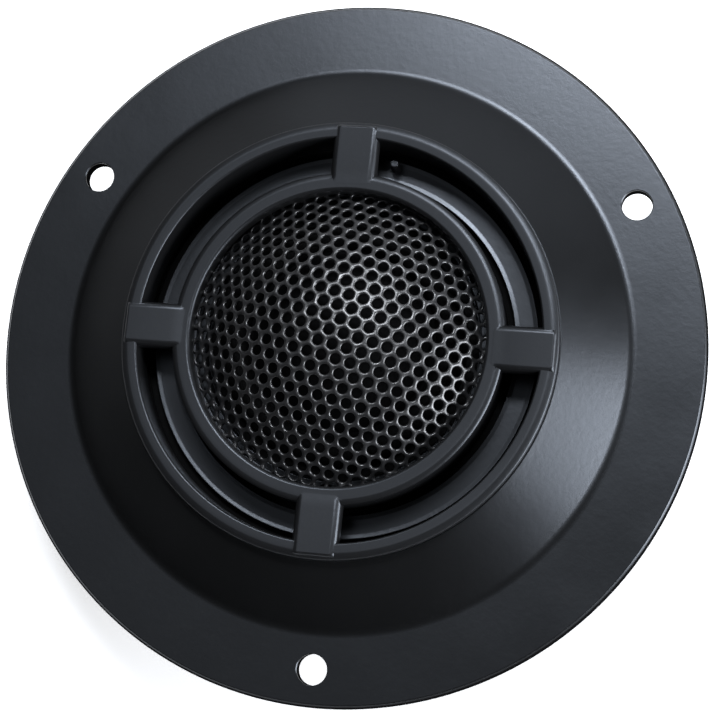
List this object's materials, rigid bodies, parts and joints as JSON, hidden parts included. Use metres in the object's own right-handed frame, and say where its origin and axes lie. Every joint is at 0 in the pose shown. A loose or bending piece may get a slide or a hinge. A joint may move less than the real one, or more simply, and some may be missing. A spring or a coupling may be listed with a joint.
{
  "type": "car tweeter",
  "caption": "Flush-mount dome tweeter: round black flange with a conical shoulder, spoked grille ring over a domed mesh, ferrite motor and push-on terminals behind.",
  "frame": {"origin": "centre of the flange's rear face, at the centre of the three panel screw holes", "axes": "+Z out of the front along the sound axis; one panel screw hole and one grille spoke point to -Y, the terminals point to -X"},
  "size_m": [0.098, 0.098, 0.0292],
  "materials": {
    "flange_plastic": "moulded black ABS, fine satin texture",
    "gasket_foam": "closed-cell foam",
    "grille_plastic": "moulded black ABS, matt",
    "mesh_steel": "perforated steel, black semi-gloss paint",
    "inner_plastic": "moulded black plastic",
    "chassis_plastic": "moulded black glass-filled plastic",
    "surround_cloth": "doped cloth half-roll",
    "dome_cloth": "doped silk",
    "former_film": "polyimide film",
    "coil_wire": "enamelled copper wire",
    "lead_braid": "copper tinsel braid",
    "pad_felt": "wool felt",
    "plated_steel": "zinc-plated steel",
    "ferrite": "ground ferrite",
    "board_laminate": "phenolic laminate",
    "tinned_brass": "tinned brass",
    "black_screws": "black-oxide steel"
  },
  "bodies": {
    "housing": {"face_plate": "flange_plastic", "flange_gasket": "gasket_foam", "grille_frame": "grille_plastic", "grille_mesh": "mesh_steel", "mesh_retainer": "inner_plastic", "chassis_plate": "chassis_plastic", "chassis_gasket": "gasket_foam", "surround_ring": "inner_plastic", "surround": "surround_cloth", "lead_positive": "lead_braid", "lead_negative": "lead_braid", "pole_pad": "pad_felt", "top_plate": "plated_steel", "magnet": "ferrite", "yoke": "plated_steel", "terminal_board": "board_laminate", "terminal_positive": "tinned_brass", "terminal_negative": "tinned_brass", "terminal_rivets": "tinned_brass", "chassis_screws": "black_screws", "motor_screws": "black_screws"},
    "diaphragm": {"dome": "dome_cloth", "coil_former": "former_film", "voice_coil": "coil_wire"}
  },
  "joints": [
    {"name": "dome_travel", "type": "slide", "parent": "housing", "child": "diaphragm", "axis": [0, 0, 1], "range_m": [-0.0004, 0.0004], "stiffness_N_per_m": 600, "deforming": ["surround", "lead_positive", "lead_negative"]}
  ]
}
